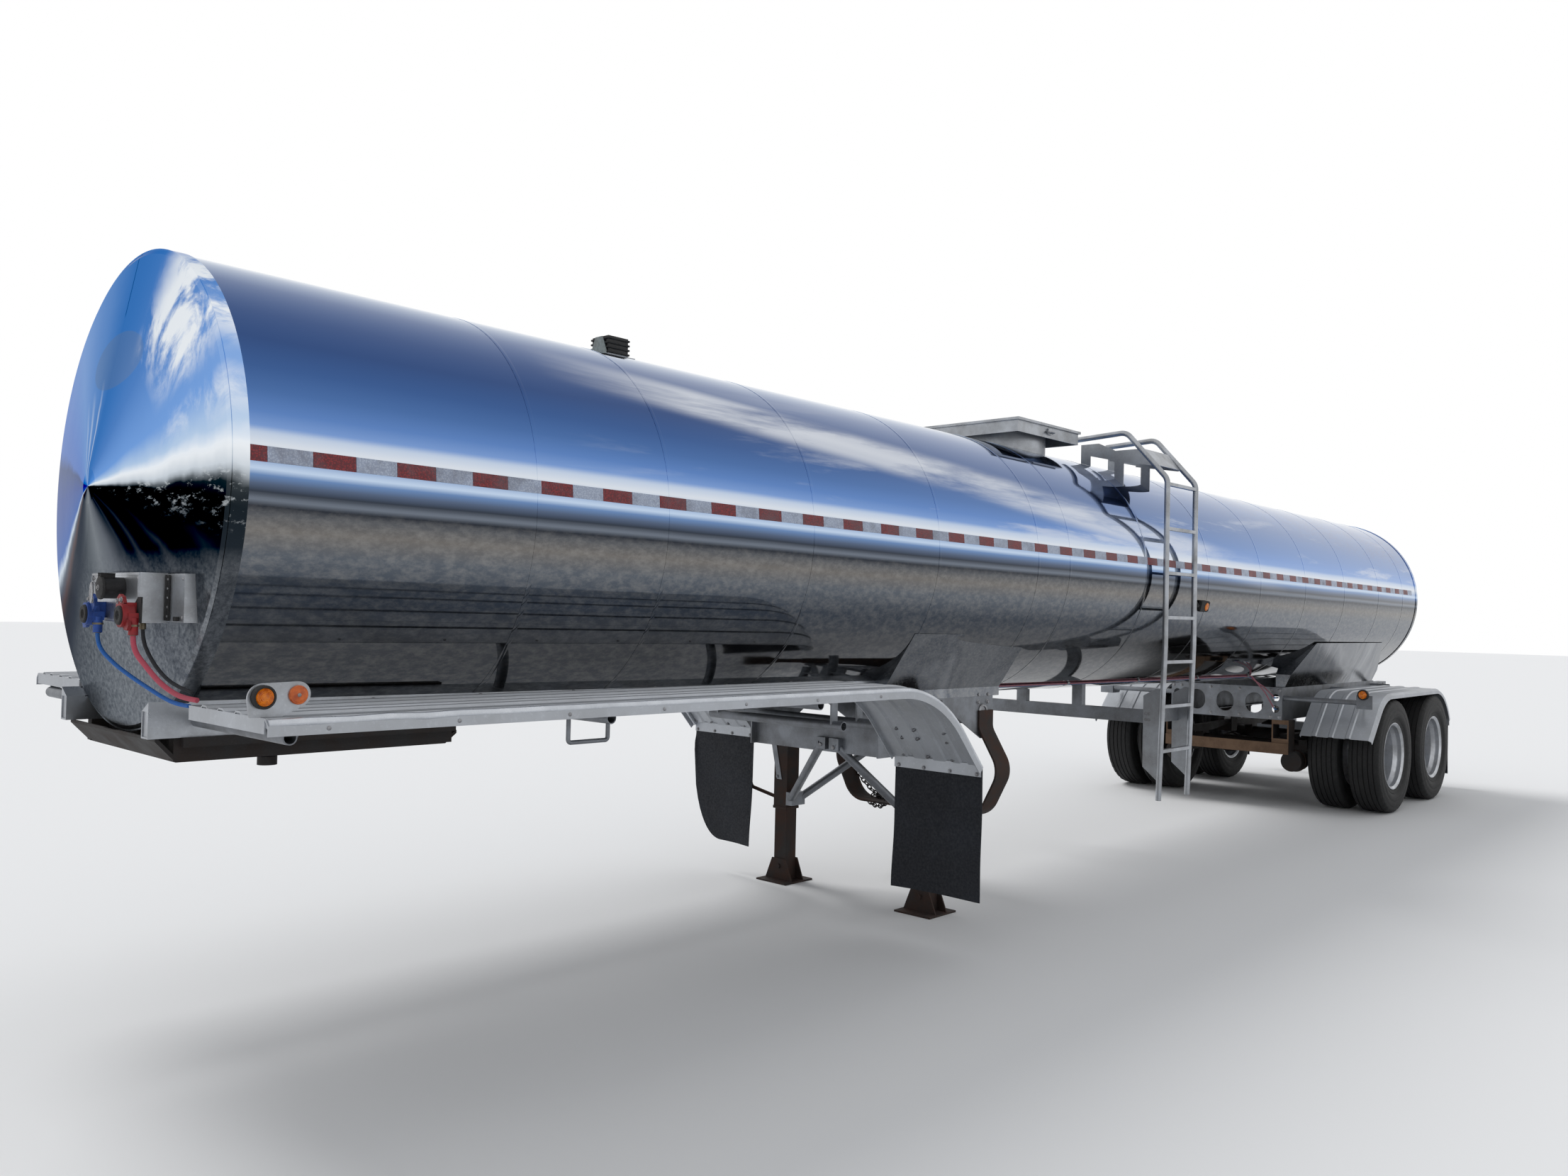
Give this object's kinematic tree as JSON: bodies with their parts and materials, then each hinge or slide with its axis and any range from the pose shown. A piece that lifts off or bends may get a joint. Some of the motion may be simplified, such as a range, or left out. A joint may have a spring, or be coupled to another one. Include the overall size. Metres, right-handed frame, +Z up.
{
  "type": "food-grade tanker trailer",
  "caption": "Polished road tanker trailer: long round tank with cone ends, hinged manhole cover, side ladder, parking legs and free-turning twin wheels.",
  "frame": {"origin": "centre of the trailer's bounding box at ground level", "axes": "+X towards the front of the trailer, +Y to the driver's side, +Z up"},
  "size_m": [12.7168, 2.584, 3.0015],
  "materials": {
    "polished_steel": "polished stainless steel",
    "satin_steel": "satin stainless steel",
    "frame_steel": "worn dark frame paint over steel",
    "rusty_steel": "rusty steel",
    "bright_aluminium": "polished forged aluminium with road dust",
    "tyre": "dusty tyre rubber",
    "flap_rubber": "matt rubber sheet",
    "hose_rubber": "matt hose rubber",
    "amber_lens": "moulded amber lens",
    "red_lens": "moulded red lens",
    "coupling_metal": "painted cast couplings"
  },
  "bodies": {
    "chassis": {"air_lines": "hose_rubber", "axle_front": "frame_steel", "axle_rear": "frame_steel", "coupling_box": "satin_steel", "cross_tubes": "frame_steel", "emergency_hose": "hose_rubber", "fender_tubes": "satin_steel", "frame_rails": "satin_steel", "front_couplings": "coupling_metal", "front_fender_left": "polished_steel", "front_fender_right": "polished_steel", "front_flaps": "flap_rubber", "front_head": "polished_steel", "kingpin": "frame_steel", "ladder": "satin_steel", "ladder_beam": "frame_steel", "lamp_cable": "hose_rubber", "landing_crank": "rusty_steel", "landing_frame": "frame_steel", "landing_leg_left": "frame_steel", "landing_leg_right": "frame_steel", "leaf_springs": "rusty_steel", "leg_braces": "satin_steel", "manhole_collar": "satin_steel", "marker_lamps": "amber_lens", "outlet_pipe": "satin_steel", "rear_bumper": "satin_steel", "rear_fairings": "polished_steel", "rear_fender_arms": "satin_steel", "rear_fender_left": "polished_steel", "rear_fender_right": "polished_steel", "rear_flaps": "flap_rubber", "rear_head": "polished_steel", "rear_subframe": "frame_steel", "saddle_fairings": "polished_steel", "service_hose": "hose_rubber", "spare_hoop": "rusty_steel", "spring_hangers": "frame_steel", "tail_lamps": "red_lens", "tank_barrel": "polished_steel", "top_vent": "satin_steel", "upper_coupler": "frame_steel", "walkway_step": "satin_steel"},
    "manhole_cover": {"manhole_cover": "satin_steel"},
    "wheels_front_left": {"tyres_front_left": "tyre", "wheel_front_left": "bright_aluminium"},
    "wheels_front_right": {"tyres_front_right": "tyre", "wheel_front_right": "bright_aluminium"},
    "wheels_rear_left": {"tyres_rear_left": "tyre", "wheel_rear_left": "bright_aluminium"},
    "wheels_rear_right": {"tyres_rear_right": "tyre", "wheel_rear_right": "bright_aluminium"}
  },
  "joints": [
    {"name": "manhole_cover_hinge", "type": "hinge", "parent": "chassis", "child": "manhole_cover", "pos_m": [0.6186, -0.399, 2.892], "axis": [1, 0, 0], "range_deg": [0, 110]},
    {"name": "wheels_front_left_spin", "type": "hinge", "parent": "chassis", "child": "wheels_front_left", "pos_m": [-3.9014, 0.9835, 0.507], "axis": [0, 1, 0], "continuous": true},
    {"name": "wheels_front_right_spin", "type": "hinge", "parent": "chassis", "child": "wheels_front_right", "pos_m": [-3.9014, -0.9835, 0.507], "axis": [0, 1, 0], "continuous": true},
    {"name": "wheels_rear_left_spin", "type": "hinge", "parent": "chassis", "child": "wheels_rear_left", "pos_m": [-5.1464, 0.9835, 0.507], "axis": [0, 1, 0], "continuous": true},
    {"name": "wheels_rear_right_spin", "type": "hinge", "parent": "chassis", "child": "wheels_rear_right", "pos_m": [-5.1464, -0.9835, 0.507], "axis": [0, 1, 0], "continuous": true}
  ]
}
